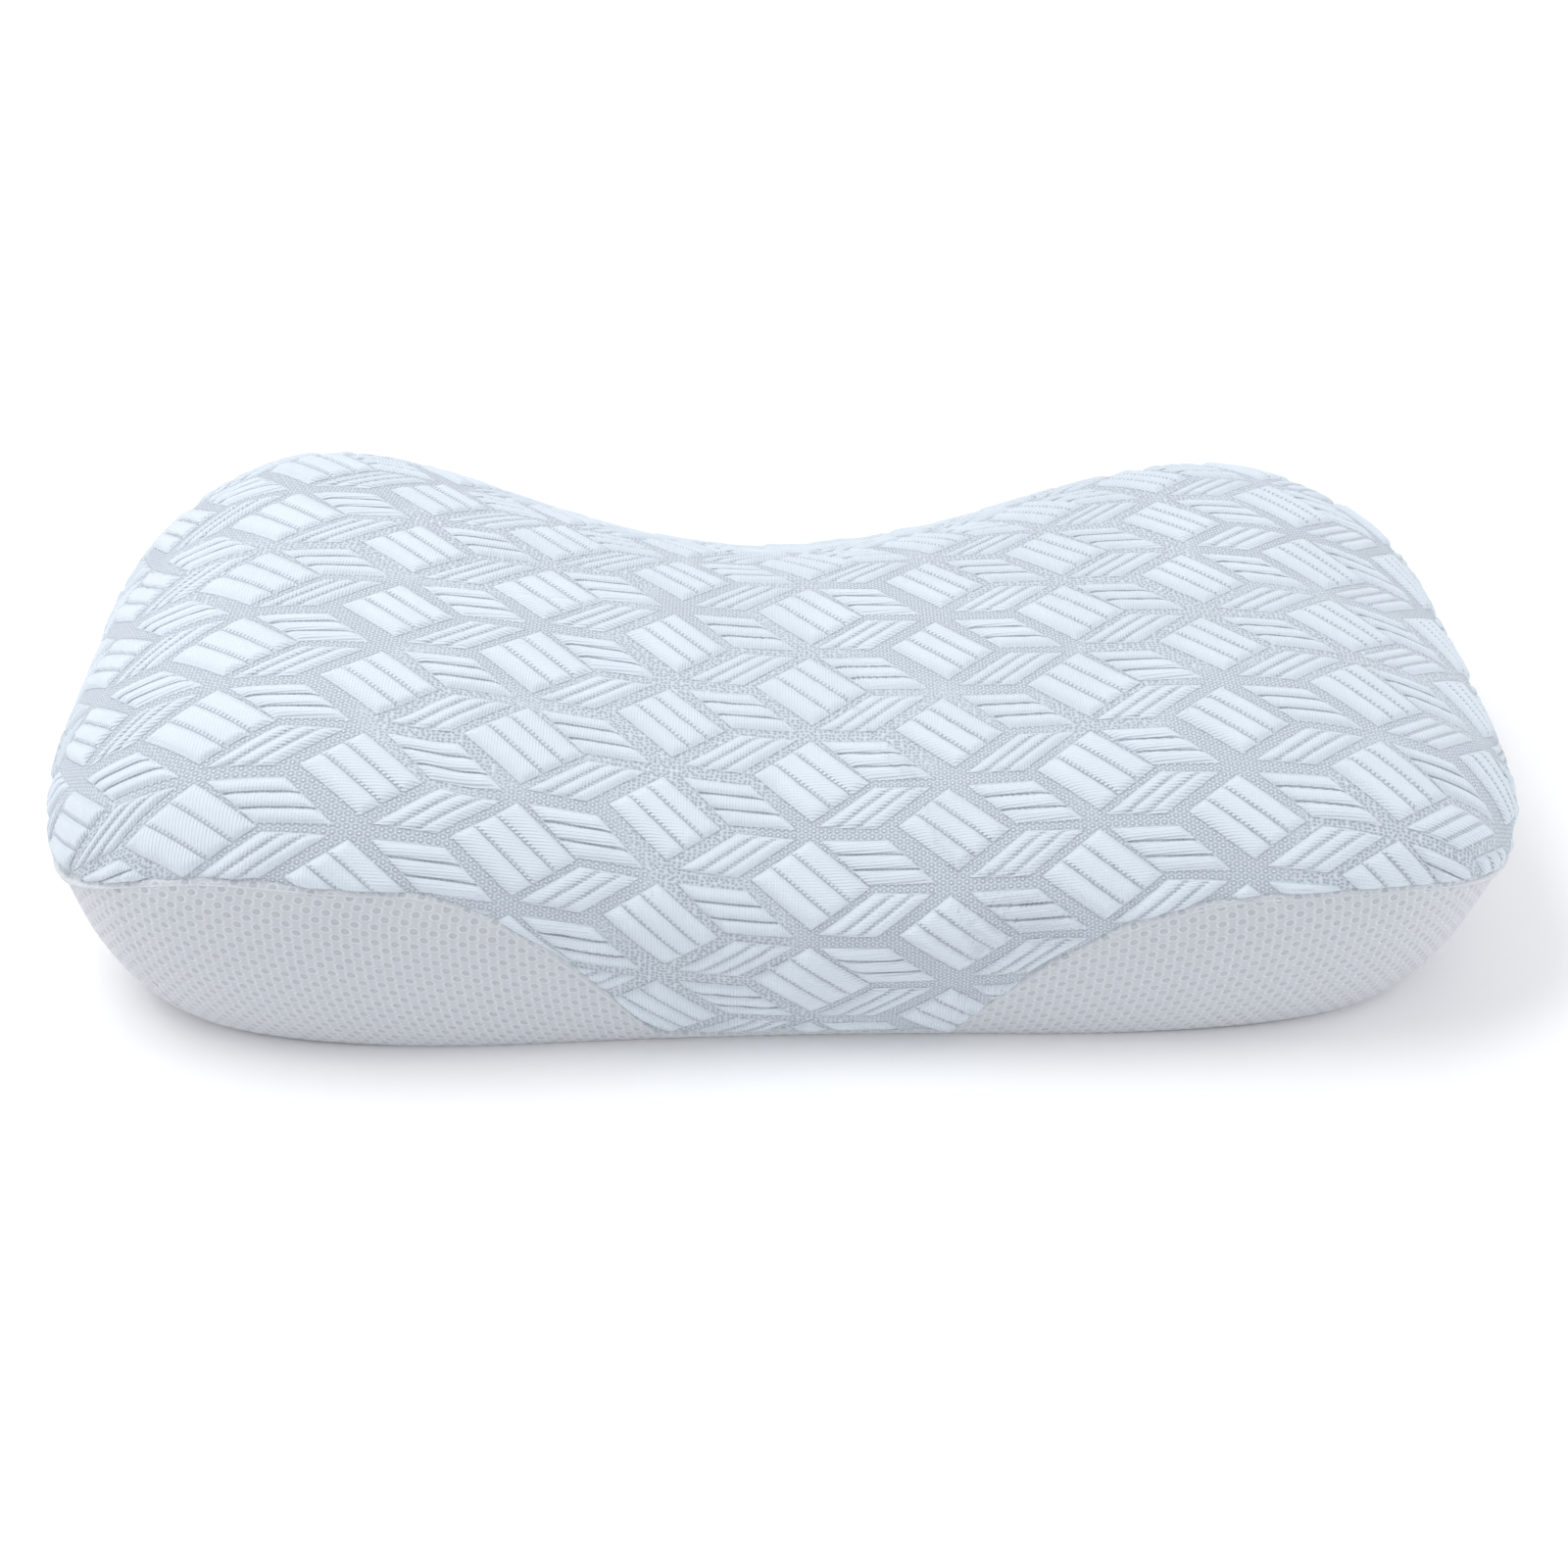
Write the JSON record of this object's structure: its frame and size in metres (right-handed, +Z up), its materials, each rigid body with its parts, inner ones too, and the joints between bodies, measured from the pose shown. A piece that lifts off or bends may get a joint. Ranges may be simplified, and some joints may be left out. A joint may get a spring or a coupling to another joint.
{
  "type": "bed pillow",
  "caption": "Contoured memory foam bed pillow with raised side wings, a dipped middle and a zipped cover of quilted knit over mesh.",
  "frame": {"origin": "middle of the flat base, on the plane it rests on", "axes": "+X towards the right wing seen from the front, +Y towards the rear edge, +Z up"},
  "size_m": [0.596, 0.3154, 0.1278],
  "materials": {
    "foam": "open-cell visco-elastic foam, matt, off-white",
    "liner_knit": "thin plain white knit",
    "quilted_knit": "padded jacquard knit, pale blue-white with grey-blue stitched blocks",
    "spacer_mesh": "spacer knit mesh, pale grey-white with small oval holes",
    "zip_tape": "woven polyester tape",
    "zip_coil": "nylon coil",
    "zip_metal": "crimped stops",
    "slider_metal": "pale enamelled die casting"
  },
  "bodies": {
    "pillow": {"foam_core": "foam", "inner_liner": "liner_knit", "top_panel": "quilted_knit", "mesh_underside": "spacer_mesh", "zip_tape_upper": "zip_tape", "zip_tape_lower": "zip_tape", "zip_coil_upper": "zip_coil", "zip_coil_lower": "zip_coil", "zip_top_stop_upper": "zip_metal", "zip_top_stop_lower": "zip_metal", "zip_bottom_stop": "zip_metal"},
    "zip_slider": {"zip_slider_body": "slider_metal"},
    "zip_pull": {"zip_pull_tab": "slider_metal"}
  },
  "joints": [
    {"name": "zip_slide", "type": "slide", "parent": "pillow", "child": "zip_slider", "axis": [-1, 0, 0], "range_m": [0, 0.25]},
    {"name": "pull_swing", "type": "hinge", "parent": "zip_slider", "child": "zip_pull", "pos_m": [0.125, 0.15145, 0.031], "axis": [0, 0, 1], "range_deg": [-178, 0]}
  ]
}
